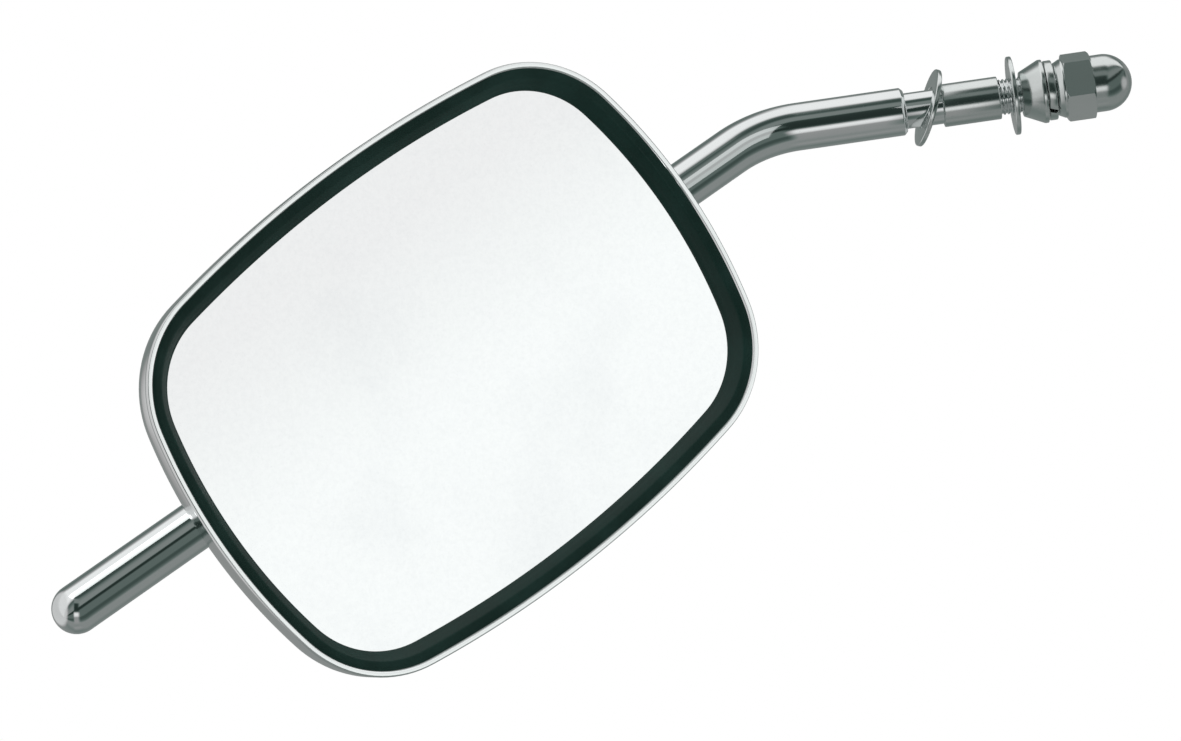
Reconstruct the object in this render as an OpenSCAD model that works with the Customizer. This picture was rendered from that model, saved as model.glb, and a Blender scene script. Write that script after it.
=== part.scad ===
// Motorcycle mirror: a domed chrome head with a convex glass in a rubber bezel, carried on a ball
// stud by a clamp block that slides along a bent stem. The stud below the stem's shoulder goes
// through the control lever's bracket and is held by washers and an acorn nut.
// The origin is the middle of the spacer sleeve, and +Z runs along the stud towards the stem.

/* [Stem] */
// Diameter of the stem
stem_d = 12.7; // [11:0.1:14.5]
// Diameter of the stud below the shoulder
stud_d = 9.5; // [8.6:0.1:10.4]
// Shoulder above the middle of the spacer sleeve
shoulder_z = 17.5; // [16:0.5:24]
// Shoulder to the corner where the two straight runs would meet
corner_rise = 39; // [30:1:60]
// Angle between the stud and the upper run of the stem
bend_angle = 35; // [15:1:50]
// Radius of the bend on the stem's centre line
bend_r = 32; // [24:1:50]
// Corner to the tip of the domed end
run_l = 237; // [225:1:290]
// Corner to the middle of the turned neck
neck_at = 186; // [180:1:190]
// Width of the turned neck
neck_w = 4.2; // [2:0.2:6]
// Depth of the turned neck below the stem's surface
neck_depth = 1.7; // [0.6:0.1:2.4]
// Chamfer at the shoulder
shoulder_chamfer = 0.9; // [0.4:0.1:1.4]
// Stud below the middle of the spacer sleeve
stud_drop = 35; // [32:0.5:37]

/* [Stud hardware] */
// Outer diameter of the two flat washers
washer_d = 20.9; // [18:0.1:24]
// Thickness of the two flat washers
washer_t = 1.3; // [1:0.1:1.8]
// Radial play of the washers, the sleeve and the cone on the stud
stud_play = 0.35; // [0.2:0.05:0.6]
// Lean of the loose upper washer
washer_lean = 19; // [5:1:22]
// Direction of the axis that it leans about, from the stem's plane
lean_heading = 47; // [0:1:90]
// Middle of the leaning washer below the shoulder
lean_washer_drop = 6.2; // [5:0.1:6.8]
// Outer diameter of the spacer sleeve
sleeve_d = 11.4; // [11.1:0.1:13]
// Length of the spacer sleeve
sleeve_l = 15.2; // [13:0.1:15.6]
// Middle of the lower flat washer below the middle of the sleeve
flat_washer_drop = 11.4; // [10:0.1:12.2]
// Top of the cone washer below the middle of the sleeve
cone_drop = 13.5; // [13.2:0.1:14]
// Height of the cone washer
cone_h = 6.4; // [5:0.1:6.6]
// Diameter of the cone washer at its small end
cone_top_d = 11.8; // [11.4:0.1:13]
// Diameter of the cone washer at its rim
cone_rim_d = 16.9; // [15:0.1:19]
// Thickness of the cone washer's rim
cone_rim_t = 1; // [0.6:0.1:1.6]
// Outer diameter of the split lock washer
lock_d = 15.9; // [14.6:0.1:17.5]
// Thickness of the split lock washer
lock_t = 2.2; // [1.6:0.1:2.4]
// Width of the lock washer's gap
lock_gap = 1.3; // [0.8:0.1:2]
// Space between neighbours in the loose stack
stack_gap = 0.3; // [0.1:0.05:0.4]
// Distance across the nut's flats
nut_af = 16.1; // [14.3:0.1:17]
// Height of the nut's hexagon with its chamfered base
nut_hex_h = 9.9; // [8:0.1:11]
// Height of the chamfered base ring under the hexagon
nut_base_h = 2.2; // [1:0.1:3]
// Diameter of the nut's dome
nut_dome_d = 15.2; // [13.5:0.1:15.6]
// Height of the nut's dome
nut_dome_h = 10.5; // [8:0.1:12]
// Space between the stud's foot and the end of the nut's blind hole
nut_hole_spare = 0.8; // [0.2:0.1:1.5]

/* [Head] */
// Visible length of the glass
glass_l = 145.6; // [130:0.2:160]
// Visible width of the glass
glass_w = 105.2; // [96:0.2:116]
// Bulge of the glass's long sides beyond a straight line
long_bulge = 8.7; // [6:0.1:11]
// Bulge of the glass's short sides beyond a straight line
short_bulge = 10.7; // [8:0.1:13]
// Radius of the glass's corners
corner_r = 23.6; // [18:0.2:30]
// Radius of the convex glass
glass_curve_r = 1500; // [900:50:3000]
// Thickness of the glass
glass_t = 2.8; // [2:0.1:3]
// Glass hidden under the bezel's lip
glass_tuck = 2; // [1.2:0.1:2.6]
// Width of the rubber bezel
bezel_w = 5.3; // [4.4:0.1:6.4]
// Height of the housing's rim above the edge of the glass
bezel_rise = 4.4; // [3:0.1:6]
// Thickness of the housing's wall
wall_t = 1.2; // [0.8:0.1:1.6]
// Bulge of the housing's rolled rim beyond its flank
bead_out = 0.45; // [0.2:0.05:0.8]
// Depth of the housing from its rim to its back
housing_depth = 24.4; // [22:0.2:26]
// Squareness of the housing's section, 2 being an ellipse
section_power = 3; // [2.4:0.1:3.6]
// Radius of the hole in the housing's back
back_hole_r = 13; // [12:0.5:14.5]

/* [Swivel] */
// Corner to the middle of the clamp block
block_at = 126; // [122:1:134]
// Swing of the head about the stem, from the stem's plane
head_swing = 45; // [0:1:90]
// Turn of the head in its own plane
head_turn = 2.5; // [-10:0.5:10]
// Ball centre in front of the stem's axis
ball_out = 24; // [23.4:0.2:26]
// Edge of the glass in front of the ball centre
glass_out = 15; // [14.4:0.2:16]
// Radius of the ball
ball_r = 6.5; // [6:0.1:6.8]
// Radius of the ball's neck
neck_r = 3; // [2.6:0.1:3.2]
// Thickness of the two ball liners
liner_t = 1.05; // [0.8:0.05:1.2]
// Running clearance of the ball, the liners and the stem's bush
run_play = 0.05; // [0.03:0.01:0.08]
// Radius of the clamp block
block_r = 12.5; // [11.5:0.5:13]
// Wall of the clamp block behind the stem's bush
block_back = 6; // [5:0.5:9]
// Top of the clamp block below the ball centre
block_top = 10.5; // [10:0.1:11]
// Chamfer of the clamp block
block_chamfer = 1.2; // [0.5:0.1:2]
// Wall of the stem's bush
bush_t = 1.5; // [1:0.1:2]
// Diameter of the set screw
screw_d = 7.9; // [6:0.1:8.4]
// Distance across the flats of the set screw's socket
socket_af = 4; // [3:0.5:5]
// Thickness of the pad under the set screw
pad_t = 1.6; // [1:0.1:2.4]
// Radius of the socket plate's flange
flange_r = 25; // [23:0.5:28]
// Thickness of the socket plate
plate_t = 1.6; // [1.2:0.1:2]
// Radius of the circle of posts
post_circle_r = 17; // [15:0.5:19]
// Radius of a post
post_r = 3; // [2.4:0.1:3.6]
// Diameter of a post screw
post_screw_d = 4; // [3:0.5:4]
// Top of the bridge plate below the back of the glass above its posts
bridge_top = 0.85; // [0.75:0.05:1.45]
// Radius of the pressure cup
cup_r = 9.6; // [9:0.1:10.5]

/* [Hidden] */

$fn = 96;
eps = 0.01;
stem_r = stem_d / 2;
stud_r = stud_d / 2;
stud_bore_r = stud_r + stud_play;
corner_z = shoulder_z + corner_rise;
bend_run = bend_r * tan(bend_angle / 2);
bend_thin = 0.06;
bend_lap = 1;
lock_top = cone_drop + cone_h + stack_gap;
nut_top = lock_top + lock_t + stack_gap;

// The rim outline: four wide arcs and four corner arcs around the visible glass
half_l = glass_l / 2;
half_w = glass_w / 2;
long_r = (half_l * half_l + long_bulge * long_bulge) / (2 * long_bulge);
short_r = (half_w * half_w + short_bulge * short_bulge) / (2 * short_bulge);
long_c = [0, half_w - long_r];
short_c = [half_l - short_r, 0];
centre_gap = norm(short_c - long_c);
to_long = long_r - corner_r;
to_short = short_r - corner_r;
along = (to_long * to_long - to_short * to_short + centre_gap * centre_gap) / (2 * centre_gap);
aside = sqrt(to_long * to_long - along * along);
between = (short_c - long_c) / centre_gap;
corner_c = long_c + along * between + aside * [between[1], -between[0]];
corner_from = atan2(corner_c[1] - short_c[1], corner_c[0] - short_c[0]);
corner_to = atan2(corner_c[1] - long_c[1], corner_c[0] - long_c[0]);
arc_steps = 8;
function on_arc(c, r, a) = c + r * [cos(a), sin(a)];
function quarter(d) = concat(
    [for (i = [0 : arc_steps - 1]) on_arc(short_c, short_r + d, corner_from * i / arc_steps)],
    [for (i = [0 : arc_steps - 1])
        on_arc(corner_c, corner_r + d, corner_from + (corner_to - corner_from) * i / arc_steps)],
    [for (i = [0 : arc_steps - 1])
        on_arc(long_c, long_r + d, corner_to + (90 - corner_to) * i / arc_steps)]);
function turn_point(p, k) = k == 0 ? p : k == 1 ? [-p[0], p[1]] : k == 2 ? [-p[0], -p[1]] : [p[0], -p[1]];
// The quarters meet on the axes, so a mirrored one runs backwards and starts a point later
quarter_n = 3 * arc_steps;
ring_n = 4 * quarter_n;
function outline(d) =
    let (q = concat(quarter(d), [[0, half_w + d]]))
    [for (k = [0 : 3]) for (i = [0 : quarter_n - 1])
        k % 2 == 0 ? turn_point(q[i], k) : turn_point(q[quarter_n - i], k)];

// Heights in the head, from the ball centre
glass_top = glass_out + glass_sag(half_l, 0);
rim_z = glass_out + bezel_rise;
back_z = rim_z - housing_depth;
bead_h = 1.5;
bead_top = 0.35;
flank_d = bezel_w + wall_t;
inner_back_z = back_z + wall_t;
// The pillow sections of the housing's outside and inside start below the rolled rim
pillow_top = rim_z - bead_h - 0.4;
outer_depth = pillow_top - back_z;
inner_depth = pillow_top - inner_back_z;
function glass_sag(x, y) = glass_curve_r - sqrt(glass_curve_r * glass_curve_r - x * x - y * y);
function glass_z(p) = glass_top - glass_sag(p[0], p[1]);

// One ring of the pillow section: the outline shrinks by the section curve and ends in the round hole
function section_angle(i, steps) = 6 + 80 * i / (steps - 1);
function pillow_ring(d, depth, top, u) =
    let (s = pow(cos(u), 2 / section_power), h = pow(sin(u), 2 / section_power))
    [for (p = outline(d))
        let (hole = p / norm(p) * back_hole_r)
        concat(hole + (p - hole) * s, [top - depth * h])];
function hole_ring(z) = [for (p = outline(0)) concat(p / norm(p) * back_hole_r, [z])];
function flat_ring(d, z) = [for (p = outline(d)) concat(p, [z])];
function glass_ring(d, lift) = [for (p = outline(d)) concat(p, [glass_z(p) + lift])];

// A closed tube of rings, the last joined to the first
module ring_tube(rings) {
    n = len(rings[0]);
    m = len(rings);
    points = [for (r = rings) each r];
    faces = [for (j = [0 : m - 1]) for (i = [0 : n - 1])
        let (a = j * n + i, b = j * n + (i + 1) % n,
             c = ((j + 1) % m) * n + (i + 1) % n, d = ((j + 1) % m) * n + i)
        each [[a, b, c], [a, c, d]]];
    polyhedron(points, faces, convexity = 8);
}

// Placing: the upper run of the stem points along its own +Z, away from the corner
module on_run(along_run) {
    translate([0, 0, corner_z]) rotate([0, bend_angle, 0]) translate([0, 0, along_run]) children();
}

// Block frame: X along the stem towards the bend, Z towards the glass, origin at the ball centre
module at_ball() {
    on_run(block_at) rotate([0, 0, 90 - head_swing]) translate([ball_out, 0, 0])
        rotate([0, 90, 0]) children();
}

// Head frame: as the block frame, turned in the plane of the glass
module at_head() {
    at_ball() rotate([0, 0, head_turn]) children();
}

module ring_profile(points) {
    rotate_extrude() polygon(points);
}

module washer_body(outer_r, bore_r, thick, edge) {
    ring_profile([[bore_r, -thick / 2], [outer_r - edge, -thick / 2], [outer_r, -thick / 2 + edge],
                  [outer_r, thick / 2 - edge], [outer_r - edge, thick / 2], [bore_r, thick / 2]]);
}

// A wall between two spheres about the origin, cut by polar angles from +Z
module ball_shell(inner_r, outer_r, from, to) {
    difference() {
        intersection() {
            sphere(outer_r);
            rotate_extrude() polygon(cap_wedge(from, to, outer_r + 2));
        }
        sphere(inner_r);
    }
}

function cap_wedge(from, to, reach) = [
    [0, 0], reach * [sin(from), cos(from)], reach * [sin((from + to) / 2), cos((from + to) / 2)],
    reach * [sin(to), cos(to)]];

module stem() {
    color("silver") union() {
        lower_run();
        // The rod draws in a little over its bend
        translate([bend_r, 0, corner_z - bend_run]) rotate([90, 0, 0]) rotate([0, 0, 180 - bend_angle])
            rotate_extrude(angle = bend_angle) translate([bend_r, 0]) circle(stem_r - bend_thin);
        upper_run();
    }
}

// Stud with a chamfered foot, shoulder and lower run, turned as one
module lower_run() {
    top = corner_z - bend_run + bend_lap;
    ring_profile([[0, -stud_drop - 1], [stud_r - 1, -stud_drop - 1], [stud_r, -stud_drop],
                  [stud_r, shoulder_z], [stem_r - shoulder_chamfer, shoulder_z],
                  [stem_r, shoulder_z + shoulder_chamfer], [stem_r, top], [0, top]]);
}

// Upper run with the turned neck and the domed end
module upper_run() {
    low = bend_run - bend_lap;
    on_run(0) rotate_extrude() difference() {
        union() {
            translate([0, low]) square([stem_r, run_l - stem_r - low]);
            intersection() {
                translate([0, run_l - stem_r]) circle(stem_r);
                translate([0, run_l - stem_r - 1]) square([stem_r + 1, stem_r + 2]);
            }
        }
        translate([0, neck_at]) neck_shape();
    }
}

// Half section of the turned neck, with a chamfer at each of its lips
module neck_shape() {
    floor_r = stem_r - neck_depth;
    half = neck_w / 2;
    lip = 0.8;
    polygon([[floor_r, -half], [stem_r - lip, -half], [stem_r, -half - lip], [stem_r + 2, -half - lip],
             [stem_r + 2, half + lip], [stem_r, half + lip], [stem_r - lip, half], [floor_r, half]]);
}

module leaning_washer() {
    lean_bore_r = (stud_r + washer_t / 2 * sin(washer_lean)) / cos(washer_lean) + stud_play / 2;
    color("silver") translate([0, 0, shoulder_z - lean_washer_drop])
        rotate([0, 0, lean_heading]) rotate([-washer_lean, 0, 0])
        washer_body(washer_d / 2, lean_bore_r, washer_t, 0.2);
}

module spacer_sleeve() {
    color("silver") washer_body(sleeve_d / 2, stud_bore_r, sleeve_l, 0.3);
}

module flat_washer() {
    color("silver") translate([0, 0, -flat_washer_drop])
        washer_body(washer_d / 2, stud_bore_r, washer_t, 0.2);
}

module cone_washer() {
    color("silver") translate([0, 0, -cone_drop - cone_h])
        ring_profile([[stud_bore_r, 0], [cone_rim_d / 2 - 0.3, 0], [cone_rim_d / 2, 0.3],
                      [cone_rim_d / 2, cone_rim_t], [cone_top_d / 2, cone_h], [stud_bore_r, cone_h]]);
}

module lock_washer() {
    color("silver") translate([0, 0, -lock_top - lock_t / 2]) difference() {
        washer_body(lock_d / 2, stud_bore_r, lock_t, 0.3);
        rotate([20, 0, 0]) translate([0, -lock_gap / 2, -lock_t * 2])
            cube([lock_d, lock_gap, lock_t * 4]);
    }
}

module acorn_nut() {
    corner = nut_af / 2 / cos(30);
    hex_bottom = nut_top + nut_hex_h;
    hole_end = stud_drop + 1 + nut_hole_spare;
    color("silver") difference() {
        union() {
            mirror([0, 0, 1]) translate([0, 0, nut_top]) nut_core();
            intersection() {
                translate([0, 0, -hex_bottom]) rotate([0, 0, 30])
                    cylinder(h = nut_hex_h - nut_base_h, r = corner, $fn = 6);
                translate([0, 0, -hex_bottom]) nut_chamfer(corner);
            }
        }
        translate([0, 0, -hole_end]) cylinder(h = hole_end - nut_top + eps, r = stud_r + run_play);
    }
}

// The turned corners of the hexagon, at both of its ends
module nut_chamfer(corner) {
    high = nut_hex_h - nut_base_h;
    drop = 0.6;
    cut_r = corner - drop / tan(30);
    ring_profile([[0, 0], [cut_r, 0], [corner + eps, drop], [corner + eps, high - drop], [cut_r, high],
                  [0, high]]);
}

// The turned base ring, the middle and the dome, from the nut's seat outwards
module nut_core() {
    base_r = nut_af / 2;
    dome_r = nut_dome_d / 2;
    dome_at = nut_hex_h + nut_dome_h - dome_r;
    rotate_extrude() union() {
        polygon([[0, 0], [base_r * 0.86, 0], [base_r * 0.97, nut_base_h * 0.8], [base_r * 0.97, nut_base_h],
                 [dome_r, nut_base_h + 0.5], [dome_r, dome_at], [0, dome_at]]);
        intersection() {
            translate([0, dome_at]) circle(dome_r);
            translate([0, dome_at - 1]) square(dome_r + 2);
        }
    }
}

// Bush: a split sleeve on the stem, in the cross bore of the block
bush_in_r = stem_r + run_play;
bush_out_r = bush_in_r + bush_t;
block_bore_r = bush_out_r + run_play;
bush_half = sqrt(block_r * block_r - block_bore_r * block_bore_r);
block_low = -ball_out - block_bore_r - block_back;
module stem_bush() {
    slot = 1.2;
    color("ivory") on_run(block_at) difference() {
        translate([0, 0, -bush_half]) cylinder(h = 2 * bush_half, r = bush_out_r);
        translate([0, 0, -bush_half - 1]) cylinder(h = 2 * bush_half + 2, r = bush_in_r);
        rotate([0, 0, -head_swing]) translate([0, -slot / 2, -bush_half - 1])
            cube([bush_out_r + 1, slot, 2 * bush_half + 2]);
    }
}

// The block's cross bore runs along the stem, which is X here
module cross_bore(r) {
    translate([-block_r - 1, 0, -ball_out]) rotate([0, 90, 0]) cylinder(h = 2 * block_r + 2, r = r);
}

shank_gap = 0.6;
shank_l = ball_out - block_bore_r - block_top - shank_gap;
module clamp_block() {
    color("silver") at_ball() difference() {
        translate([0, 0, block_low]) {
            cylinder(h = block_chamfer, r1 = block_r - block_chamfer, r2 = block_r);
            translate([0, 0, block_chamfer])
                cylinder(h = -block_top - block_low - 2 * block_chamfer, r = block_r);
            translate([0, 0, -block_top - block_low - block_chamfer])
                cylinder(h = block_chamfer, r1 = block_r, r2 = block_r - block_chamfer);
        }
        cross_bore(block_bore_r);
        translate([0, 0, block_low - 1]) cylinder(h = block_back + block_bore_r, r = screw_d / 2 + run_play);
        translate([0, 0, -block_top - shank_l]) cylinder(h = shank_l + 1, r = neck_r + run_play);
    }
}

module ball_stud() {
    collar_r = neck_r + 1.4;
    collar_h = 1.2;
    color("silver") at_ball() {
        sphere(ball_r);
        translate([0, 0, -block_top - shank_l]) cylinder(h = block_top + shank_l, r = neck_r);
        translate([0, 0, -block_top]) cylinder(h = collar_h, r = collar_r);
    }
}

module clamp_pad() {
    color("goldenrod") at_ball() difference() {
        translate([0, 0, -ball_out - block_bore_r - pad_t]) cylinder(h = pad_t + 2, r = screw_d / 2);
        cross_bore(bush_out_r + run_play / 2);
    }
}

module set_screw() {
    top = -ball_out - block_bore_r - pad_t;
    long = top - block_low - 0.5;
    socket_l = long * 0.6;
    color("dimgray") at_ball() difference() {
        union() {
            translate([0, 0, top - long]) cylinder(h = 0.6, r1 = screw_d / 2 - 0.6, r2 = screw_d / 2);
            translate([0, 0, top - long + 0.6]) cylinder(h = long - 0.6, r = screw_d / 2);
        }
        translate([0, 0, top - long - eps]) cylinder(h = socket_l, r = socket_af / 2 / cos(30), $fn = 6);
    }
}

liner_in_r = ball_r + run_play;
liner_out_r = liner_in_r + liner_t;
seat_r = liner_out_r + run_play;
front_liner_to = 60;
rear_liner_from = 96;
rear_liner_to = 130;
module front_ball_liner() {
    color("ivory") at_ball() ball_shell(liner_in_r, liner_out_r, 0, front_liner_to);
}

module rear_ball_liner() {
    color("ivory") at_ball() ball_shell(liner_in_r, liner_out_r, rear_liner_from, rear_liner_to);
}

module housing() {
    out = flank_d;
    in = bezel_w;
    outer_steps = 11;
    inner_steps = 9;
    outer = concat(
        [flat_ring(in, rim_z - 0.3), flat_ring(in + 0.4, rim_z + bead_top * 0.7),
         flat_ring(in + wall_t * 0.6, rim_z + bead_top), flat_ring(out + bead_out * 0.8, rim_z),
         flat_ring(out + bead_out, rim_z - bead_h * 0.45), flat_ring(out + bead_out * 0.5, rim_z - bead_h)],
        [for (i = [0 : outer_steps - 1])
            pillow_ring(out, outer_depth, pillow_top, section_angle(i, outer_steps))],
        [hole_ring(back_z)]);
    inner = concat(
        [hole_ring(inner_back_z)],
        [for (i = [inner_steps - 1 : -1 : 0])
            pillow_ring(in, inner_depth, pillow_top, section_angle(i, inner_steps))]);
    color("silver") at_head() ring_tube(concat(outer, inner));
}

// The flange lies where the inside of the back has risen least clear of it, which is across the head
seat_gap = 0.15;
flange_share = (flange_r - back_hole_r) / (half_w + bezel_w - back_hole_r);
back_rise = inner_depth * (1 - pow(1 - pow(flange_share, section_power), 1 / section_power));
flange_low = inner_back_z + back_rise + seat_gap;
socket_wall = 1.6;
module socket_plate() {
    exit_angle = 132;
    rim_reach = seat_r + socket_wall;
    color("gray") at_head() difference() {
        union() {
            translate([0, 0, flange_low]) cylinder(h = plate_t, r = flange_r);
            intersection() {
                sphere(rim_reach);
                translate([0, 0, seat_r * cos(exit_angle)]) cylinder(h = -seat_r * cos(exit_angle) - 0.6,
                                                                     r = rim_reach + 1);
            }
        }
        sphere(seat_r);
        translate([0, 0, -rim_reach - 1]) cylinder(h = rim_reach, r = seat_r * sin(exit_angle));
        for (a = [45 : 90 : 315])
            rotate([0, 0, a]) translate([post_circle_r, 0, flange_low - 1])
                cylinder(h = plate_t + 2, r = post_screw_d / 2 + run_play);
    }
}

cup_low = 3.9;
cup_high = seat_r + 1.4;
module pressure_cup() {
    color("gray") at_head() difference() {
        translate([0, 0, cup_low]) cylinder(h = cup_high - cup_low, r = cup_r);
        sphere(seat_r);
    }
}

bridge_t = 1.8;
arm_r = post_r + 1.5;
bridge_high = glass_z([post_circle_r + arm_r, 0]) - glass_t - bridge_top;
bridge_low = bridge_high - bridge_t;
module disc_spring() {
    high = bridge_low - cup_high;
    strip = 0.9;
    color("steelblue") at_head() translate([0, 0, cup_high])
        ring_profile([[3.6, high - strip], [cup_r - 0.6, 0], [cup_r, 0], [cup_r, strip * 0.6],
                      [4.2, high], [3.6, high]]);
}

post_low = flange_low + plate_t;
module bridge_plate() {
    color("gray") at_head() difference() {
        translate([0, 0, bridge_low]) union() {
            for (a = [45, 135])
                rotate([0, 0, a]) {
                    translate([-post_circle_r, -arm_r, 0]) cube([2 * post_circle_r, 2 * arm_r, bridge_t]);
                    for (s = [-1, 1]) translate([s * post_circle_r, 0, 0]) cylinder(h = bridge_t, r = arm_r);
                }
            cylinder(h = bridge_t, r = cup_r + 1);
        }
        for (a = [45 : 90 : 315])
            rotate([0, 0, a]) translate([post_circle_r, 0, bridge_low - eps]) {
                cylinder(h = bridge_t + 1, r = post_screw_d / 2 + run_play);
                translate([0, 0, bridge_t - post_screw_d / 3])
                    cylinder(h = post_screw_d / 2, r1 = post_screw_d / 2 + run_play,
                             r2 = post_screw_d + run_play);
            }
    }
}

module bridge_posts() {
    color("silver") at_head() for (a = [45 : 90 : 315])
        rotate([0, 0, a]) translate([post_circle_r, 0, post_low]) difference() {
            cylinder(h = bridge_low - post_low, r = post_r);
            translate([0, 0, -1]) cylinder(h = bridge_low - post_low + 2, r = post_screw_d / 2 + run_play);
        }
}

module post_screws() {
    head_h = post_screw_d / 3;
    color("silver") at_head() for (a = [45 : 90 : 315])
        rotate([0, 0, a]) translate([post_circle_r, 0, 0]) {
            translate([0, 0, flange_low]) cylinder(h = bridge_high - head_h - flange_low, r = post_screw_d / 2);
            translate([0, 0, bridge_high - head_h - eps])
                cylinder(h = head_h, r1 = post_screw_d / 2, r2 = post_screw_d / 2 + head_h * 0.95);
        }
}

// A curved sheet of the outline that follows the glass, from one drop below its front to another
module curved_sheet(d, front_drop, back_drop) {
    shares = [0.3, 0.6, 0.85, 1];
    m = len(shares);
    function layer(share, drop) = [for (p = outline(d)) concat(p * share, [glass_z(p * share) - drop])];
    points = concat(
        [for (k = [0 : m - 1]) each layer(shares[k], front_drop)],
        [for (k = [m - 1 : -1 : 0]) each layer(shares[k], back_drop)],
        [[0, 0, glass_top - front_drop], [0, 0, glass_top - back_drop]]);
    last = (2 * m - 1) * ring_n;
    sides = [for (j = [0 : 2 * m - 2]) for (i = [0 : ring_n - 1])
        let (a = j * ring_n + i, b = j * ring_n + (i + 1) % ring_n)
        each [[a, b, b + ring_n], [a, b + ring_n, a + ring_n]]];
    front = [for (i = [0 : ring_n - 1]) [2 * m * ring_n, (i + 1) % ring_n, i]];
    back = [for (i = [0 : ring_n - 1]) [2 * m * ring_n + 1, last + i, last + (i + 1) % ring_n]];
    polyhedron(points, concat(sides, front, back), convexity = 4);
}

module mirror_glass() {
    color("white") at_head() curved_sheet(glass_tuck, 0, glass_t);
}

// The backing pad stays inside the bezel's foot
module backing_pad() {
    inset = 3;
    pad_gap = 0.1;
    sheet_t = 0.6;
    color("dimgray") at_head() curved_sheet(-inset, glass_t + pad_gap, glass_t + pad_gap + sheet_t);
}

module rubber_bezel() {
    gap = 0.08;
    foot = glass_t + 1.6;
    color([0.12, 0.15, 0.14]) at_head() ring_tube([
        glass_ring(0, 0.1), glass_ring(0.5, 1.1), flat_ring(1.5, glass_out + bezel_rise * 0.56),
        flat_ring(2.9, glass_out + bezel_rise * 0.88), flat_ring(4.1, glass_out + bezel_rise),
        flat_ring(bezel_w - 0.15, glass_out + bezel_rise * 0.97), flat_ring(bezel_w - 0.15, rim_z - 2),
        glass_ring(bezel_w - 1.1, -foot), glass_ring(-0.6, -foot), glass_ring(-0.6, -glass_t - gap),
        glass_ring(glass_tuck + gap, -glass_t - gap), glass_ring(glass_tuck + gap, 0.1)]);
}

stem();
leaning_washer();
spacer_sleeve();
flat_washer();
cone_washer();
lock_washer();
acorn_nut();
stem_bush();
clamp_block();
ball_stud();
clamp_pad();
set_screw();
front_ball_liner();
rear_ball_liner();
housing();
socket_plate();
pressure_cup();
disc_spring();
bridge_plate();
bridge_posts();
post_screws();
backing_pad();
mirror_glass();
rubber_bezel();
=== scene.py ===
import math

import bpy
from mathutils import Matrix, Vector


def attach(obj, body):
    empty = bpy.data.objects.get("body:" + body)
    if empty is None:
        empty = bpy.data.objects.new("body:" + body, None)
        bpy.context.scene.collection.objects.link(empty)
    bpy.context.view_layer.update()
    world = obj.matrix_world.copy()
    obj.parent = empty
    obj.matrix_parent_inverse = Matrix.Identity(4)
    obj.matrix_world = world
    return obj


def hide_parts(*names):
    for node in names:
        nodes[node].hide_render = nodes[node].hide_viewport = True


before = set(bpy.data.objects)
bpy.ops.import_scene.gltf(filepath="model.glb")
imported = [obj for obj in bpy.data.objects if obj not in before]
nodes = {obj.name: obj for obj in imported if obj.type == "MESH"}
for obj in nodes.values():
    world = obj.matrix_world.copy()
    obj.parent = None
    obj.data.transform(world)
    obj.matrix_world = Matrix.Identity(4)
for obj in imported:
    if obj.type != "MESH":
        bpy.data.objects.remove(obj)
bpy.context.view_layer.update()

bpy.ops.object.select_all(action="DESELECT")

# Lengths are in millimetres, but the panels' sizes and distances, FLOOR_R and FAR_CLIP are in metres
MM = 0.001
# A step that is too small to see, and keeps two surfaces or rings apart
HAIR = 0.02

# Stem: the stud lies on the z axis, foot down, and the run leaves it at the bend
STEM_R = 6.35
STUD_R = 4.75
STUD_FOOT = -36
STUD_CHAMFER = 1
SHOULDER_Z = 17.5
SHOULDER_CHAMFER = 0.9
SHOULDER_EASE = 0.2
CORNER_Z = 56.5
BEND_ANGLE = math.radians(35)
BEND_R = 32
BEND_RUN = BEND_R * math.tan(BEND_ANGLE / 2)
BEND_STEPS = 28
RUN_L = 237
NECK_AT = 186
NECK_HALF = 2.1
NECK_DEPTH = 1.7
NECK_LIP = 0.8
NECK_EASE = 0.45

# Screw thread: the rod reaches down into it by the lap, and its top ring lies under the rod's skin
THREAD_TOP = 4
THREAD_PITCH = 1.058
THREAD_DEPTH = 0.5
THREAD_LAP = 1
GROOVE_SLOPE = 2.6

# Stud hardware, from the loose washer down to the nut
BORE_R = 5.1
WASHER_R = 10.45
WASHER_T = 1.3
WASHER_EASE = 0.35
LEAN = math.radians(23)
LEAN_HEADING = math.radians(28)
LEAN_BORE_R = 5.61
LEAN_Z = SHOULDER_Z - 6.2
SLEEVE_R = 5.7
SLEEVE_L = 15.2
SLEEVE_EASE = 0.4
FLAT_WASHER_Z = -11.4
CONE_TOP = -13.5
CONE_H = 6.4
CONE_TOP_R = 5.9
CONE_RIM_R = 8.45
CONE_RIM_T = 1.0
CONE_EASE = 0.25
STACK_GAP = 0.3
LOCK_TOP = CONE_TOP - CONE_H - STACK_GAP
LOCK_R = 7.95
LOCK_T = 2.2
LOCK_GAP = math.radians(10)
LOCK_SLANT = math.tan(math.radians(20))
NUT_TOP = LOCK_TOP - LOCK_T - STACK_GAP
NUT_AF = 16.1
NUT_BORE_R = BORE_R - 0.3
NUT_FACE_SHARE = 0.86
NUT_BASE_SHARE = 0.97
NUT_BASE_H = 2.2
NUT_EASE = 0.25
NUT_HEX_H = 9.9
NUT_CORNER_CUT = 0.5
NUT_CUT_STEPS = 12
NUT_DOME_R = 7.6
NUT_DOME_H = 10.5

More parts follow.
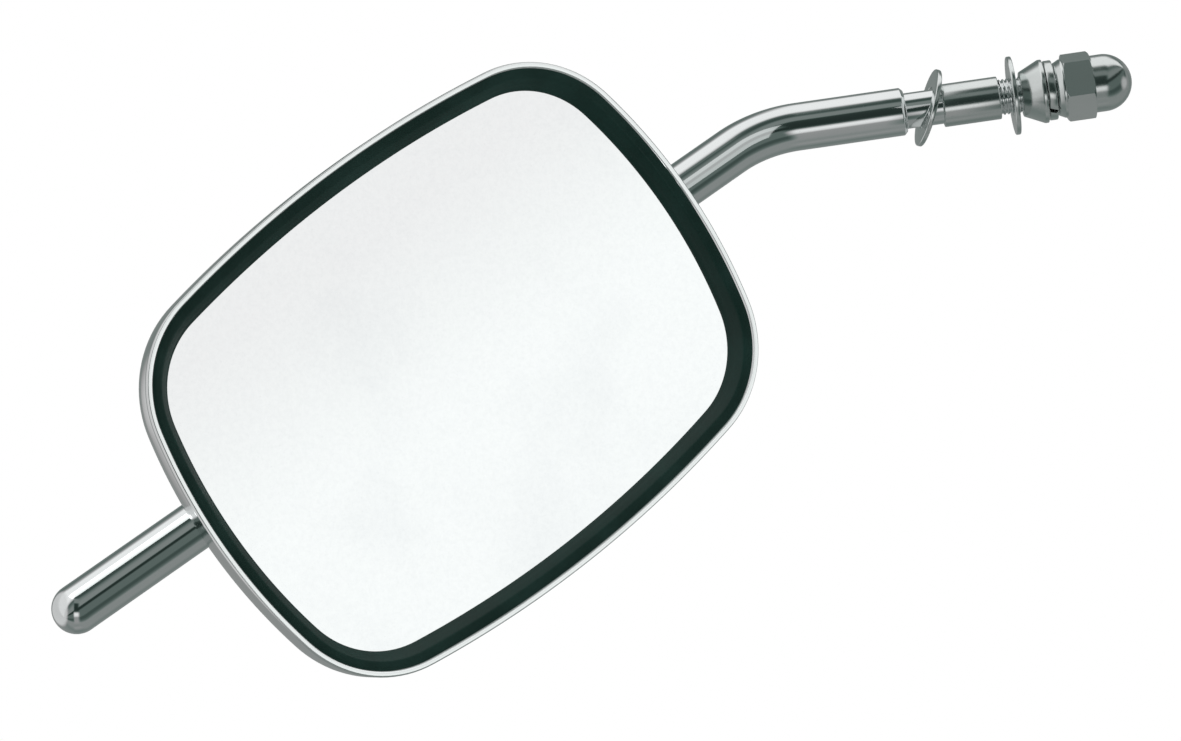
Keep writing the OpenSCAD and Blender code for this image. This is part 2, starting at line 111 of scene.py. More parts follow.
# Head: heights count from the ball, towards the glass
HALF_L = 72.8
HALF_W = 52.6
LONG_BULGE = 8.7
SHORT_BULGE = 10.7
CORNER_R = 23.6
ARC_STEPS = 20
GLASS_CURVE_R = 1500
GLASS_T = 2.8
GLASS_TUCK = 2
GLASS_PLAY = 0.08
GLASS_OUT = 15
BEZEL_W = 5.3
BEZEL_IN = 0.6
BEZEL_BEHIND = 1.6
BEZEL_EASE = 0.35
RIM_Z = GLASS_OUT + 4.4
WALL_T = 1.2
BEAD_OUT = 0.45
BEAD_TOP = 0.35
BEAD_H = 1.5
BEAD_EASE = 0.3
HOUSING_DEPTH = 24.4
SECTION_POWER = 3
BACK_HOLE_R = 13
BACK_Z = RIM_Z - HOUSING_DEPTH
HEAD_NODES = ("front_ball_liner", "rear_ball_liner", "socket_plate", "pressure_cup", "disc_spring",
              "bridge_plate", "bridge_posts", "post_screws", "backing_pad")

# Swivel: where the clamp block sits on the run, and how the ball and the head stand off it
BLOCK_AT = 126
HEAD_SWING = math.radians(45)
HEAD_TURN = math.radians(2.5)
BALL_OUT = 24

RUN = Matrix.Translation((0, 0, CORNER_Z)) @ Matrix.Rotation(BEND_ANGLE, 4, "Y")
BALL = (RUN @ Matrix.Translation((0, 0, BLOCK_AT)) @ Matrix.Rotation(math.pi / 2 - HEAD_SWING, 4, "Z")
        @ Matrix.Translation((BALL_OUT, 0, 0)) @ Matrix.Rotation(math.pi / 2, 4, "Y"))
HEAD = BALL @ Matrix.Rotation(HEAD_TURN, 4, "Z")
HERE = Matrix.Identity(4)
ALONG_RUN = (RUN.to_3x3() @ Vector((0, 0, 1))).normalized()

# The view: the stud's foot points to the right, and it rises a little above level
STUD_RISE = math.radians(8.2)
VIEW_HEADING = math.radians(47)
TOWARD = Vector((math.cos(VIEW_HEADING), math.sin(VIEW_HEADING), 0))
ACROSS = Vector((-math.sin(VIEW_HEADING), math.cos(VIEW_HEADING), 0))
DOWN_STUD = Vector((0, 0, -1))
RIGHT = math.cos(STUD_RISE) * DOWN_STUD - math.sin(STUD_RISE) * ACROSS
UP = math.sin(STUD_RISE) * DOWN_STUD + math.cos(STUD_RISE) * ACROSS
PICTURE_W = 1181
PICTURE_H = 741
MM_PER_PIXEL = 0.265
FOCAL_PIXELS = 6000
ORIGIN_PIXEL = (970.5, 101.8)
SENSOR_MM = 36
FAR_CLIP = 20

# The studio: brightness by the angle from the front, upwards, in degrees, round the stud and the run
ROUND_STUD = (
    (-180, 0.3), (-120, 0.2), (-96, 0.32), (-80, 0.26), (-60, 0.33), (-38, 0.33), (-31, 0.8), (-22, 0.95),
    (-17, 0.7), (-11, 0.1), (-5, 0.03), (16, 0.035), (25, 0.045), (30, 0.23), (44, 0.23), (52, 0.07),
    (60, 0.07), (67, 0.15), (74, 0.85), (80, 0.97), (124, 0.97), (134, 0.25), (160, 0.2), (180, 0.3))
ROUND_RUN = (
    (-180, 0.3), (-131, 0.22), (-108, 0.28), (-76, 0.28), (-66, 0.14), (-56, 0.08), (-47, 0.08),
    (-41, 0.15), (-15, 0.15), (-10, 0.03), (-2, 0.03), (2, 0.26), (18, 0.25), (30, 0.15), (38, 0.1),
    (46, 0.7), (54, 0.95), (100, 0.98), (114, 0.3), (130, 0.15), (180, 0.3))
LEFT_END_GLOW = 0.75
LEFT_END_SHARE = 0.8
RIGHT_END_GLOW = 0.5
DARK_TINT = (0.6, 1.0, 0.88)
WHITE = (1.0, 1.0, 1.0)
FLOOR_CENTRE = Vector((50, 0, -170))
FLOOR_R = 0.9


def add_camera():
    """A long lens that looks straight against TOWARD, and shows the origin at its pixel in the photo."""
    data = bpy.data.cameras.new("camera")
    data.sensor_width = SENSOR_MM
    data.lens = SENSOR_MM * FOCAL_PIXELS / PICTURE_W
    data.clip_end = FAR_CLIP
    camera = bpy.data.objects.new("camera", data)
    bpy.context.scene.collection.objects.link(camera)
    right_of_origin = (PICTURE_W / 2 - ORIGIN_PIXEL[0]) * MM_PER_PIXEL * MM
    above_origin = (ORIGIN_PIXEL[1] - PICTURE_H / 2) * MM_PER_PIXEL * MM
    place = right_of_origin * RIGHT + above_origin * UP + FOCAL_PIXELS * MM_PER_PIXEL * MM * TOWARD
    turn = Matrix((RIGHT, UP, TOWARD)).transposed().to_4x4()
    camera.matrix_world = Matrix.Translation(place) @ turn
    bpy.context.scene.camera = camera


class Wire:
    """A value in a node tree, on which Python arithmetic adds Math nodes."""

    def __init__(self, tree, socket):
        self.tree = tree
        self.socket = socket

    def math(self, operation, *others):
        return self.tree.add("Math", {"operation": operation}, dict(enumerate((self,) + others)))

    def __add__(self, other):
        return self.math("ADD", other)

    def __rsub__(self, other):
        return self.math("MULTIPLY_ADD", -1.0, other)

    def __mul__(self, other):
        return self.math("MULTIPLY", other)

    def __truediv__(self, other):
        return self.math("DIVIDE", other)

    __radd__ = __add__

    def limited(self):
        return self.math("MAXIMUM", 0.0).math("MINIMUM", 1.0)

    def between(self, low, high):
        """0 below low, 1 above high, and a smooth step from one to the other."""
        return self.tree.add("MapRange", {"interpolation_type": "SMOOTHSTEP"},
                             {"Value": self, "From Min": low, "From Max": high}, out="Result")


class Tree:
    """A shader's node tree; add() makes any node from its type, settings and sockets."""

    def __init__(self, tree):
        self.tree = tree
        tree.nodes.clear()

    def add(self, kind, settings=None, sockets=None, out=0):
        node = self.tree.nodes.new("ShaderNode" + kind)
        for name, value in (settings or {}).items():
            setattr(node, name, value)
        for name, value in (sockets or {}).items():
            if isinstance(value, Wire):
                self.tree.links.new(value.socket, node.inputs[name])
            else:
                node.inputs[name].default_value = value
        return Wire(self, node.outputs[out]) if node.outputs else None

    def noise(self, scale, detail=3.0, roughness=0.5, stretch=None):
        place = self.add("TexCoord", out="Object")
        if stretch:
            place = self.add("Mapping", sockets={"Vector": place, "Scale": stretch})
        return self.add("TexNoise", sockets={"Vector": place, "Scale": scale, "Detail": detail,
                                             "Roughness": roughness})

    def blend(self, share, first, second):
        """A colour between two; the Mix node's sockets 6 and 7 and its output 2 are those for colours."""
        return self.add("Mix", {"data_type": "RGBA"}, {0: share, 6: (*first, 1.0), 7: (*second, 1.0)}, out=2)

    def bump(self, height, distance, strength):
        return self.add("Bump", sockets={"Height": height, "Distance": distance, "Strength": strength})


def finish_of(name, build, **constants):
    """A material: build returns what varies over the surface, and constants sit on the shader."""
    material = bpy.data.materials.new(name)
    material.use_nodes = True
    tree = Tree(material.node_tree)
    sockets = {socket.replace("_", " "): value for socket, value in constants.items()}
    sockets.update(build(tree))
    tree.add("OutputMaterial", sockets={"Surface": tree.add("BsdfPrincipled", sockets=sockets)})
    return material


def chrome(name, bright, dull, rough, haze, grain=0.0):
    """Plated metal: a faint haze and pits from polishing, and grain where it was only turned."""
    def build(tree):
        cloud = tree.noise(60.0, 4.0)
        speck = tree.noise(1900.0, 2.0).between(0.66, 0.74)
        wipe = tree.noise(260.0, 3.0, 0.6, stretch=(1.0, 1.0, 0.12))
        height = tree.noise(120.0, 2.0) * 0.5 + wipe * grain
        return {"Base Color": tree.blend((cloud * 0.7 + speck * 0.5).limited(), bright, dull),
                "Roughness": rough + cloud * haze + speck * 0.08 + wipe * grain,
                "Normal": tree.bump(height, 0.00001 + 0.00008 * grain, 0.25)}
    return finish_of(name, build, Metallic=1.0)


def dull_metal(name, bright, dull):
    """Zinc, brass or blackened steel: unpolished, with a cloudy skin."""
    def build(tree):
        cloud = tree.noise(90.0, 5.0)
        return {"Base Color": tree.blend(cloud, bright, dull),
                "Roughness": 0.3 + cloud * 0.25,
                "Normal": tree.bump(tree.noise(800.0, 3.0), 0.00003, 0.4)}
    return finish_of(name, build, Metallic=1.0)


def rubber(name, dark, pale, rough):
    """Moulded rubber: a fine skin, a soft bloom and a few wiped marks."""
    def build(tree):
        bloom = tree.noise(70.0, 5.0, 0.6)
        skin_grain = tree.noise(2600.0, 3.0)
        return {"Base Color": tree.blend(bloom.between(0.35, 0.8), dark, pale),
                "Roughness": rough + bloom * 0.16 + skin_grain * 0.05,
                "Normal": tree.bump(skin_grain + bloom * 0.6, 0.00004, 0.35)}
    return finish_of(name, build, Specular_IOR_Level=0.28)


def plastic(name, pale, tan):
    """Moulded nylon: pale, a little see-through, with a fine skin."""
    def build(tree):
        cloud = tree.noise(140.0, 4.0)
        return {"Base Color": tree.blend(cloud, pale, tan),
                "Roughness": 0.42 + cloud * 0.12,
                "Normal": tree.bump(tree.noise(1500.0, 2.0), 0.00003, 0.3)}
    return finish_of(name, build, Subsurface_Weight=0.1)


def silvered(name):
    """Silvered glass: clean and bright, with a faint mottle and a little dust."""
    def build(tree):
        mottle = tree.noise(700.0, 4.0, 0.7)
        cloud = tree.noise(22.0, 4.0, 0.6)
        dust = tree.noise(2400.0, 2.0).between(0.68, 0.75)
        shade = (mottle.between(0.3, 0.8) * 0.35 + cloud.between(0.45, 0.75) * 0.4 + dust * 0.4).limited()
        return {"Base Color": tree.blend(shade, (0.965, 0.965, 0.97), (0.84, 0.845, 0.86)),
                "Roughness": 0.025 + mottle * 0.03 + dust * 0.1,
                "Normal": tree.bump(mottle, 0.000004, 0.2)}
    return finish_of(name, build, Metallic=1.0)


def paper(name):
    def build(tree):
        return {"Base Color": tree.blend(tree.noise(6.0), (0.93, 0.93, 0.93), (0.9, 0.9, 0.9))}
    return finish_of(name, build, Roughness=0.9)


def skin(name, rings, place=HERE, closed=False, smooth=35):
    """A surface of rings, each a list of points in millimetres: a grid is added and wrapped on them."""
    rows = rings + [rings[0]] if closed else rings
    around = len(rows[0])
    bpy.ops.mesh.primitive_grid_add(x_subdivisions=around, y_subdivisions=len(rows) - 1, size=1)
    piece = bpy.context.object
    piece.name = name
    flat = []
    for ring in rows:
        for k in range(around + 1):
            flat.extend((place @ Vector(ring[k % around])) * MM)
    piece.data.vertices.foreach_set("co", flat)
    piece.location = (0, 0, 0)
    bpy.ops.object.mode_set(mode="EDIT")
    bpy.ops.mesh.select_all(action="SELECT")
    bpy.ops.mesh.remove_doubles(threshold=0.000002)
    bpy.ops.mesh.select_all(action="SELECT")
    bpy.ops.mesh.normals_make_consistent(inside=False)
    bpy.ops.object.mode_set(mode="OBJECT")
    bpy.ops.object.shade_smooth_by_angle(angle=math.radians(smooth))
    piece.select_set(False)
    return piece


def circle(radius, height, around=96):
    return [(radius * math.cos(2 * math.pi * k / around), radius * math.sin(2 * math.pi * k / around), height)
            for k in range(around)]


def dome(radius, base, steps):
    """The profile of a half ball that stands on the height base, from its foot to its top."""
    angles = [math.pi / 2 * s / steps for s in range(steps + 1)]
    return [(radius * math.cos(a), base + radius * math.sin(a)) for a in angles]


def eased(points, size, steps=4, closed=False):
    """The profile with each corner rounded by a short curve that starts size before it."""
    out = []
    count = len(points)
    for k, corner in enumerate(points):
        if not closed and k in (0, count - 1):
            out.append(corner)
            continue
        here = Vector(corner)
        before = Vector(points[k - 1]) - here
        after = Vector(points[(k + 1) % count]) - here
        start = here + before.normalized() * min(size, before.length * 0.45)
        end = here + after.normalized() * min(size, after.length * 0.45)
        for s in range(steps + 1):
            t = s / steps
            out.append(tuple(start * (1 - t) ** 2 + here * 2 * t * (1 - t) + end * t * t))
    return out


def turned(name, profile, ease, place=HERE):
    """A piece turned from a closed profile of radii and heights, with its corners eased."""
    return skin(name, [circle(r, z) for r, z in eased(profile, ease, closed=True)], place, closed=True)


def washer_profile(outer, bore, thick):
    half = thick / 2
    return [(bore, -half), (outer, -half), (outer, half), (bore, half)]


def coat(piece, material):
    piece.data.materials.clear()
    piece.data.materials.append(material)


def dress(piece, body, material, slot, *replaced):
    coat(piece, material)
    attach(piece, body)
    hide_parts(*replaced)


def stem_rings():
    """Rings from the thread's top, over the shoulder and round the bend, to the run's domed end.

    Plain rings stand between the shaped stretches.
    """
    bend_start = CORNER_Z - BEND_RUN
    lower = eased([(STUD_R, THREAD_TOP - THREAD_LAP), (STUD_R, SHOULDER_Z),
                   (STEM_R - SHOULDER_CHAMFER, SHOULDER_Z), (STEM_R, SHOULDER_Z + SHOULDER_CHAMFER),
                   (STEM_R, SHOULDER_Z + 6)], SHOULDER_EASE)
    lower += [(STEM_R, 30), (STEM_R, bend_start - 3)]
    rings = [circle(r, z) for r, z in lower]
    centre = Vector((BEND_R, 0, bend_start))
    for s in range(BEND_STEPS + 1):
        turn = Matrix.Rotation(BEND_ANGLE * s / BEND_STEPS, 4, "Y")
        rings.append([centre + turn @ Vector((x - BEND_R, y, 0)) for x, y, _ in circle(STEM_R, 0)])
    floor_r = STEM_R - NECK_DEPTH
    lip_r = STEM_R - NECK_LIP
    low = NECK_AT - NECK_HALF
    high = NECK_AT + NECK_HALF
    neck = [(STEM_R, NECK_AT - 5), (STEM_R, low - NECK_LIP), (lip_r, low), (floor_r, low),
            (floor_r, high), (lip_r, high), (STEM_R, high + NECK_LIP), (STEM_R, NECK_AT + 5)]
    upper = [(STEM_R, z) for z in (BEND_RUN + 3, 60, 120, NECK_AT - 6)]
    upper += eased(neck, NECK_EASE, 5)
    upper += [(STEM_R, z) for z in (NECK_AT + 20, RUN_L - STEM_R - 2)]
    upper += dome(STEM_R, RUN_L - STEM_R, 18)
    return rings + [[RUN @ Vector(p) for p in circle(r, z)] for r, z in upper]


def thread_rings():
    """A screw thread: the radius falls from crest to root with the height and the turn."""
    around = 64
    per_pitch = 10
    start = STUD_FOOT + STUD_CHAMFER
    rings = [circle(0, STUD_FOOT, around), circle(STUD_R - STUD_CHAMFER, STUD_FOOT, around)]
    for j in range(int((THREAD_TOP - start) / THREAD_PITCH * per_pitch) + 1):
        z = start + j * THREAD_PITCH / per_pitch
        fade = max(0.0, min(1.0, (THREAD_TOP - z) / THREAD_PITCH))
        ring = []
        for k in range(around):
            turn = k / around
            phase = (z / THREAD_PITCH - turn) % 1.0
            groove = max(0.0, 1 - abs(phase - 0.5) * GROOVE_SLOPE)
            r = STUD_R - THREAD_DEPTH * groove * fade
            ring.append((r * math.cos(2 * math.pi * turn), r * math.sin(2 * math.pi * turn), z))
        rings.append(ring)
    return rings + [circle(STUD_R - HAIR, THREAD_TOP, around)]


def make_stem(material):
    rod = skin("stem_rod", stem_rings(), smooth=50)
    thread = skin("stud_thread", thread_rings(), smooth=28)
    for piece in (rod, thread):
        dress(piece, "stem", material, "chrome_stem", "stem")
    return rod


def make_hardware(material):
    lean = (Matrix.Translation((0, 0, LEAN_Z)) @ Matrix.Rotation(LEAN_HEADING, 4, "Z")
            @ Matrix.Rotation(-LEAN, 4, "X"))
    cone_foot = CONE_TOP - CONE_H
    cone = [(BORE_R, cone_foot), (CONE_RIM_R, cone_foot), (CONE_RIM_R, cone_foot + CONE_RIM_T),
            (CONE_TOP_R, CONE_TOP), (BORE_R, CONE_TOP)]
    pieces = {
        "leaning_washer": turned("loose_washer", washer_profile(WASHER_R, LEAN_BORE_R, WASHER_T),
                                 WASHER_EASE, lean),
        "spacer_sleeve": turned("sleeve", washer_profile(SLEEVE_R, BORE_R, SLEEVE_L), SLEEVE_EASE),
        "flat_washer": turned("washer", washer_profile(WASHER_R, BORE_R, WASHER_T), WASHER_EASE,
                              Matrix.Translation((0, 0, FLAT_WASHER_Z))),
        "cone_washer": turned("cone", cone, CONE_EASE),
        "lock_washer": split_washer(),
        "acorn_nut": acorn_nut(),
    }
    for node, piece in pieces.items():
        dress(piece, "stem", material, "chrome_hardware", node)


def split_washer():
    """A coil of one turn: its section runs round from one side of the gap to the other."""
    section = eased(washer_profile(LOCK_R, BORE_R, LOCK_T), WASHER_EASE, closed=True)
    mid_r = (BORE_R + LOCK_R) / 2
    steps = 80
    rings = []
    for s in range(steps + 1):
        a = LOCK_GAP / 2 + (2 * math.pi - LOCK_GAP) * s / steps
        lean = [a + LOCK_SLANT * z / mid_r for _, z in section]
        rings.append([(r * math.cos(b), r * math.sin(b), z) for (r, z), b in zip(section, lean)])

    def end(ring):
        middle = sum((Vector(p) for p in ring), Vector()) / len(ring)
        return [middle for _ in ring]
    rings = [end(rings[0])] + rings + [end(rings[-1])]
    return skin("split_washer", rings, Matrix.Translation((0, 0, LOCK_TOP - LOCK_T / 2)))


def acorn_nut():
    """A turned core, and a hexagon whose corners are cut by a cone at both ends."""
    around = 240
    flat_r = NUT_AF / 2
    corner_r = flat_r / math.cos(math.pi / 6)
    base_r = flat_r * NUT_BASE_SHARE
    dome_at = NUT_HEX_H + NUT_DOME_H - NUT_DOME_R

    def hexagon(share, z):
        cap = base_r + (corner_r + HAIR - base_r) * share
        ring = []
        for k in range(around):
            a = 2 * math.pi * k / around
            from_flat = (a - math.pi / 6) % (math.pi / 3) - math.pi / 6
            r = min(flat_r / math.cos(from_flat), cap)
            ring.append((r * math.cos(a), r * math.sin(a), z))
        return ring
    base = [(NUT_BORE_R, 0.0)]
    base += eased([(BORE_R, 0), (flat_r * NUT_FACE_SHARE, 0), (base_r, NUT_BASE_H * 0.8),
                   (base_r, NUT_BASE_H - 0.05)], NUT_EASE)
    crown = [(NUT_DOME_R + 0.1, NUT_HEX_H + HAIR), (NUT_DOME_R, NUT_HEX_H + 0.2), (NUT_DOME_R, dome_at - 0.6)]
    crown += dome(NUT_DOME_R, dome_at, 24)
    shares = [s / NUT_CUT_STEPS for s in range(NUT_CUT_STEPS + 1)]
    rings = [circle(r, z, around) for r, z in base]
    rings += [hexagon(t, NUT_BASE_H + NUT_CORNER_CUT * t * t) for t in shares]
    rings += [hexagon(t, NUT_HEX_H - NUT_CORNER_CUT * t * t) for t in reversed(shares)]
    rings += [circle(r, z, around) for r, z in crown]
    upside_down = Matrix.Diagonal((1, 1, -1, 1))
    return skin("nut", rings, Matrix.Translation((0, 0, NUT_TOP)) @ upside_down, smooth=24)


def rim_outline(offset):
    """The rim's closed outline: four wide arcs and four corner arcs, offset outwards."""
    long_r = (HALF_L ** 2 + LONG_BULGE ** 2) / (2 * LONG_BULGE)
    short_r = (HALF_W ** 2 + SHORT_BULGE ** 2) / (2 * SHORT_BULGE)
    long_c = Vector((0, HALF_W - long_r))
    short_c = Vector((HALF_L - short_r, 0))
    gap = (short_c - long_c).length
    to_long = long_r - CORNER_R
    to_short = short_r - CORNER_R
    along = (to_long ** 2 - to_short ** 2 + gap ** 2) / (2 * gap)
    aside = math.sqrt(to_long ** 2 - along ** 2)
    between = (short_c - long_c) / gap
    corner_c = long_c + along * between + aside * Vector((between.y, -between.x))
    turn_a = math.atan2(corner_c.y - short_c.y, corner_c.x - short_c.x)
    turn_b = math.atan2(corner_c.y - long_c.y, corner_c.x - long_c.x)
    quarter = []
    for centre, r, a0, a1 in ((short_c, short_r, 0, turn_a), (corner_c, CORNER_R, turn_a, turn_b),
                              (long_c, long_r, turn_b, math.pi / 2)):
        for s in range(ARC_STEPS):
            a = a0 + (a1 - a0) * s / ARC_STEPS
            quarter.append((centre.x + (r + offset) * math.cos(a), centre.y + (r + offset) * math.sin(a)))
    half = quarter + [(0, HALF_W + offset)] + [(-x, y) for x, y in reversed(quarter[1:])]
    return half + [(-x, -y) for x, y in half]


def glass_z(x, y):
    def sag(a, b):
        return GLASS_CURVE_R - math.sqrt(GLASS_CURVE_R ** 2 - a * a - b * b)
    return GLASS_OUT + sag(HALF_L, 0) - sag(x, y)


def flat_ring(offset, z):
    return [(x, y, z) for x, y in rim_outline(offset)]


def glass_ring(offset, lift):
    return [(x, y, glass_z(x, y) + lift) for x, y in rim_outline(offset)]


def hole_ring(z, radius=BACK_HOLE_R):
    return [(x / math.hypot(x, y) * radius, y / math.hypot(x, y) * radius, z) for x, y in rim_outline(0)]


def pillow_ring(offset, depth, top, angle):
    """A ring of the domed back, on its way from the rim's outline to the round hole."""
    share = math.cos(angle) ** (2 / SECTION_POWER)
    drop = math.sin(angle) ** (2 / SECTION_POWER)
    ring = []
    for x, y in rim_outline(offset):
        far = math.hypot(x, y)
        hx, hy = x / far * BACK_HOLE_R, y / far * BACK_HOLE_R
        ring.append((hx + (x - hx) * share, hy + (y - hy) * share, top - depth * drop))
    return ring


def pillow(offset, depth, top, first, last, count):
    """Rings of the domed back at even steps of the angle, in degrees, from first to last."""
    return [pillow_ring(offset, depth, top, math.radians(first + (last - first) * s / (count - 1)))
            for s in range(count)]


def make_housing(material):
    """The bead of the rolled rim, the domed back, the round hole and the inside."""
    outer_d = BEZEL_W + WALL_T
    bead_foot = RIM_Z - BEAD_H
    bead = [(BEZEL_W + HAIR, RIM_Z - 0.9), (BEZEL_W + HAIR, RIM_Z + 0.1),
            (BEZEL_W + 0.25, RIM_Z + BEAD_TOP * 0.9), (outer_d - 0.3, RIM_Z + BEAD_TOP),
            (outer_d + BEAD_OUT * 0.3, RIM_Z + BEAD_TOP * 0.8),
            (outer_d + BEAD_OUT * 0.7, RIM_Z - BEAD_H * 0.35),
            (outer_d + BEAD_OUT * 0.5, RIM_Z - BEAD_H * 0.85),
            (outer_d, bead_foot - 0.2), (outer_d - 0.01, bead_foot - 0.9)]
    top = bead_foot - 0.4
    depth = HOUSING_DEPTH - BEAD_H - 0.4
    rings = [flat_ring(d, z) for d, z in eased(bead, BEAD_EASE)]
    rings += pillow(outer_d, depth, top, 3, 86, 40)
    rings += [hole_ring(BACK_Z, BACK_HOLE_R + 0.3), hole_ring(BACK_Z + 0.1, BACK_HOLE_R + 0.08),
              hole_ring(BACK_Z + 0.3), hole_ring(BACK_Z + WALL_T)]
    rings += pillow(BEZEL_W, depth - WALL_T, top, 86, 6, 14)
    shell = skin("drawn_housing", rings, HEAD, closed=True, smooth=40)
    dress(shell, "head", material, "chrome_housing", "housing")
    return shell


def make_bezel(material):
    """The lip follows the glass, the top levels out to the rim, and a groove holds the glass's edge."""
    rise = RIM_Z - GLASS_OUT
    level_from, level_over = 0.5, 2.4
    top = [(level_from, 1.05), (1.3, rise * 0.52), (2.5, rise * 0.86), (2.9, rise * 0.93), (4.4, rise),
           (BEZEL_W - 0.15, rise * 0.97)]
    rings = [glass_ring(0.0, 0.1), glass_ring(0.04, 0.45), glass_ring(0.2, 0.8)]
    for d, z in eased(top, BEZEL_EASE):
        share = min(1.0, max(0.0, (d - level_from) / level_over))
        rings.append([(x, y, (glass_z(x, y) + z) * (1 - share) + (GLASS_OUT + z) * share)
                      for x, y in rim_outline(d)])
    wall_d = BEZEL_W - 0.05
    groove_d = GLASS_TUCK + GLASS_PLAY
    groove_back = -GLASS_T - GLASS_PLAY
    foot = -(GLASS_T + BEZEL_BEHIND)
    rings += [flat_ring(wall_d, GLASS_OUT + rise * 0.85), flat_ring(wall_d, RIM_Z - 2),
              glass_ring(BEZEL_W - 1.1, foot), glass_ring(-BEZEL_IN, foot),
              glass_ring(-BEZEL_IN, groove_back), glass_ring(groove_d, groove_back),
              glass_ring(groove_d, 0.1)]
    bezel = skin("bezel", rings, HEAD, closed=True, smooth=40)
    dress(bezel, "head", material, "black_rubber", "rubber_bezel")
    return bezel


def make_glass(material):
    """Layers of the outline, shrunk towards the middle: out over the front, and back over the rear."""
    def layer(share, drop, offset=GLASS_TUCK):
        return [(x * share, y * share, glass_z(x * share, y * share) - drop)
                for x, y in rim_outline(offset)]
    shares = [0.0, 0.06, 0.15, 0.3, 0.45, 0.6, 0.75, 0.88, 0.96]
    rings = [layer(s, 0) for s in shares] + [layer(1, 0, GLASS_TUCK - 0.4), layer(1, 0.4)]
    rings += [layer(1, GLASS_T - 0.2), layer(1, GLASS_T, GLASS_TUCK - 0.2)]
    rings += [layer(s, GLASS_T) for s in reversed(shares)]
    glass = skin("convex_glass", rings, HEAD, smooth=30)
    dress(glass, "head", material, "mirror_glass", "mirror_glass")
    return glass


def finish_inner_pieces():
    """The CAD pieces that keep their own mesh take their finish on their slot."""
    nylon = plastic("nylon", (0.86, 0.84, 0.77), (0.78, 0.75, 0.66))
    steel = dull_metal("zinc_steel", (0.66, 0.67, 0.66), (0.5, 0.51, 0.5))
    finishes = {
        "stem_bush": nylon,
        "clamp_block": chrome("chrome_block", (0.82, 0.84, 0.84), (0.72, 0.75, 0.75), 0.07, 0.05),
        "ball_stud": steel,
        "clamp_pad": dull_metal("brass", (0.75, 0.57, 0.27), (0.6, 0.43, 0.2)),
        "set_screw": dull_metal("black_steel", (0.06, 0.06, 0.065), (0.03, 0.03, 0.03)),
        "front_ball_liner": nylon,
        "rear_ball_liner": nylon,
        "socket_plate": steel,
        "pressure_cup": steel,
        "disc_spring": dull_metal("spring_steel", (0.3, 0.33, 0.4), (0.2, 0.2, 0.22)),
        "bridge_plate": steel,
        "bridge_posts": steel,
        "post_screws": steel,
        "backing_pad": rubber("pad_rubber", (0.02, 0.02, 0.02), (0.04, 0.04, 0.04), 0.7),
    }
    for node, material in finishes.items():
        coat(nodes[node], material)


def add_floor(material):
    bpy.ops.mesh.primitive_circle_add(vertices=128, radius=FLOOR_R, fill_type="NGON",
                                      location=FLOOR_CENTRE * MM)
    floor = bpy.context.object
    floor.name = "floor"
    bpy.ops.object.transform_apply(location=True, rotation=True, scale=True)
    coat(floor, material)
    floor.select_set(False)
    floor.visible_glossy = False
    return floor


def light_room():
    """The studio: pale and dark bands, whose brightness depends on the direction alone."""
    world = bpy.data.worlds.new("studio")
    bpy.context.scene.world = world
    world.use_nodes = True
    tree = Tree(world.node_tree)
    look = tree.add("TexCoord", out="Generated")

    def along(vector):
        return tree.add("VectorMath", {"operation": "DOT_PRODUCT"}, {0: look, 1: vector}, out="Value")

    def bands(up, front, levels):
        """The brightness of these levels by the angle from front towards up."""
        turn = along(up).math("ARCTAN2", along(front)) / (2 * math.pi) + 0.5
        level = tree.add("FloatCurve", sockets={"Value": turn})
        mapping = level.socket.node.mapping
        points = mapping.curves[0].points
        while len(points) < len(levels):
            points.new(0.5, 0.5)
        for point, (angle, height) in zip(points, levels):
            point.location = ((angle + 180) / 360, height)
            point.handle_type = "VECTOR"
        mapping.update()
        return level

    run_front = (TOWARD - TOWARD.dot(ALONG_RUN) * ALONG_RUN).normalized()
    round_stud = bands(TOWARD.cross(RIGHT), TOWARD, ROUND_STUD)
    round_run = bands(run_front.cross(-ALONG_RUN), run_front, ROUND_RUN)
    # The stud's bands hold straight ahead, and the run's bands take over to both sides
    right = along(RIGHT)
    left = right * -1.0
    share = right.between(0.12, 0.35) + left.between(0.06, 0.2)
    glow = round_stud * (1.0 - share) + round_run * share
    for end, level in ((left.between(0.5, 0.7) * LEFT_END_SHARE, LEFT_END_GLOW),
                       (right.between(0.93, 0.995), RIGHT_END_GLOW)):
        glow = glow * (1.0 - end) + end * level
    tint = tree.blend((glow * 3.0).limited(), DARK_TINT, WHITE)
    lit = tree.add("Background", sockets={"Color": tint, "Strength": glow})
    plain = tree.add("Background", sockets={"Color": (*WHITE, 1.0), "Strength": 1.0})
    # The camera itself sees plain white behind the part
    seen = tree.add("MixShader", sockets={0: tree.add("LightPath", out="Is Camera Ray"), 1: lit, 2: plain})
    tree.add("OutputWorld", sockets={"Surface": seen})


def direction(right, up, toward):
    return (right * RIGHT + up * UP + toward * TOWARD).normalized()


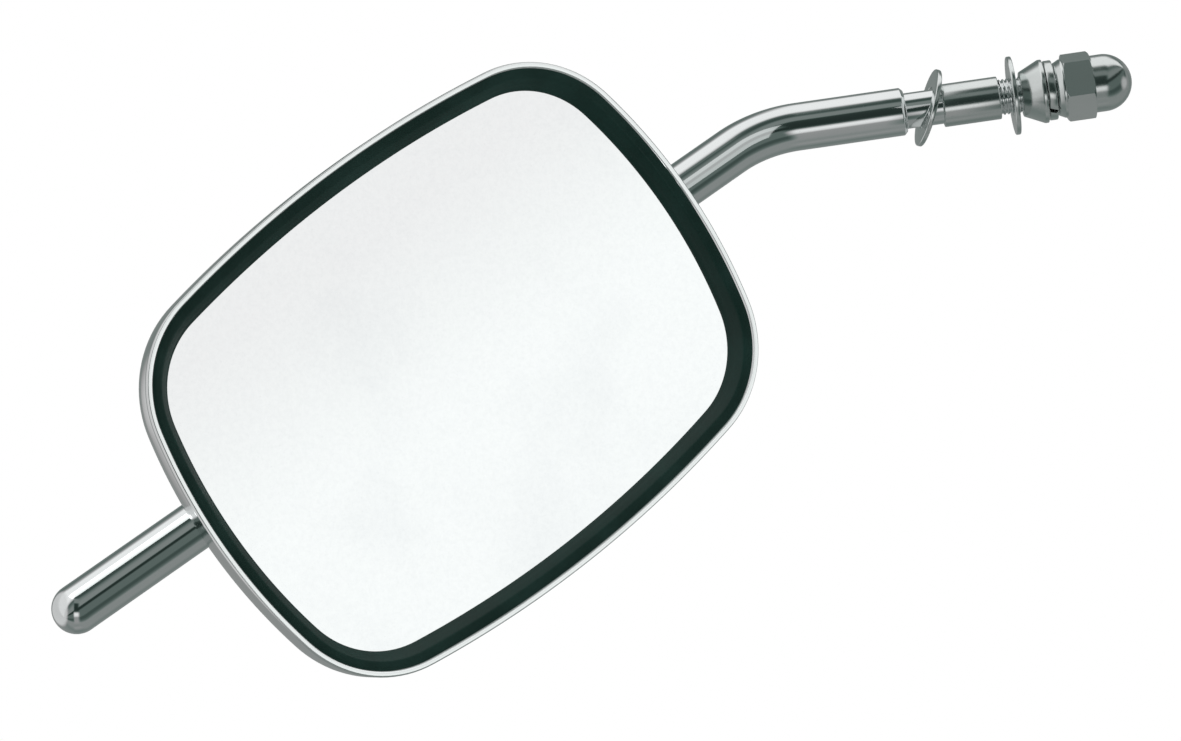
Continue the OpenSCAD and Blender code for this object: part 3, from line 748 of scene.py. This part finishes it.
def add_panel(name, target, aim, distance, size, glow, receivers):
    """A soft panel in that direction from the target, long side along the run, for the receivers alone."""
    data = bpy.data.lights.new(name, "AREA")
    data.shape = "RECTANGLE"
    data.size, data.size_y = size
    data.energy = math.pi * size[0] * size[1] * glow
    panel = bpy.data.objects.new(name, data)
    bpy.context.scene.collection.objects.link(panel)
    lengthwise = (ALONG_RUN - ALONG_RUN.dot(aim) * aim).normalized()
    turn = Matrix((lengthwise.cross(aim), lengthwise, aim)).transposed().to_4x4()
    panel.matrix_world = Matrix.Translation(target * MM + aim * distance) @ turn
    panel.visible_camera = False
    caught = bpy.data.collections.new(name + "_catchers")
    for piece in receivers:
        caught.objects.link(piece)
    panel.light_linking.receiver_collection = caught


def add_panels(rod, shell, glass, floor):
    add_panel("glass_panel", HEAD @ Vector((0, 0, GLASS_OUT)), direction(0.718, 0.206, 0.664),
              distance=0.25, size=(0.36, 0.36), glow=0.87, receivers=(glass, shell))
    add_panel("floor_panel", FLOOR_CENTRE, Vector((0, 0, 1)),
              distance=1.4, size=(1.8, 1.8), glow=1.6, receivers=(floor,))
    add_panel("run_panel", RUN @ Vector((0, 0, 35)), direction(0.64, 0.33, 0.69),
              distance=0.3, size=(0.22, 0.2), glow=0.45, receivers=(rod,))
    add_panel("rod_end_panel", RUN @ Vector((0, 0, 215)), direction(0.005, 0.955, 0.285),
              distance=0.15, size=(0.07, 0.2), glow=1.0, receivers=(rod,))


def main():
    bpy.context.scene.view_settings.view_transform = "Standard"
    add_camera()
    rod = make_stem(chrome("chrome_stem", (0.84, 0.86, 0.86), (0.74, 0.77, 0.77), 0.045, 0.05))
    make_hardware(chrome("chrome_hardware", (0.78, 0.81, 0.80), (0.62, 0.66, 0.65), 0.09, 0.08, 0.05))
    shell = make_housing(chrome("chrome_housing", (0.86, 0.87, 0.87), (0.77, 0.79, 0.79), 0.06, 0.05))
    bezel = make_bezel(rubber("black_rubber", (0.005, 0.03, 0.023), (0.01, 0.046, 0.037), 0.3))
    glass = make_glass(silvered("mirror_glass"))
    finish_inner_pieces()
    floor = add_floor(paper("floor"))
    # The head isn't reflected in the stem, so the bands run straight along it
    for piece in (shell, bezel, glass, *(nodes[n] for n in HEAD_NODES)):
        piece.visible_glossy = False
    light_room()
    add_panels(rod, shell, glass, floor)


main()
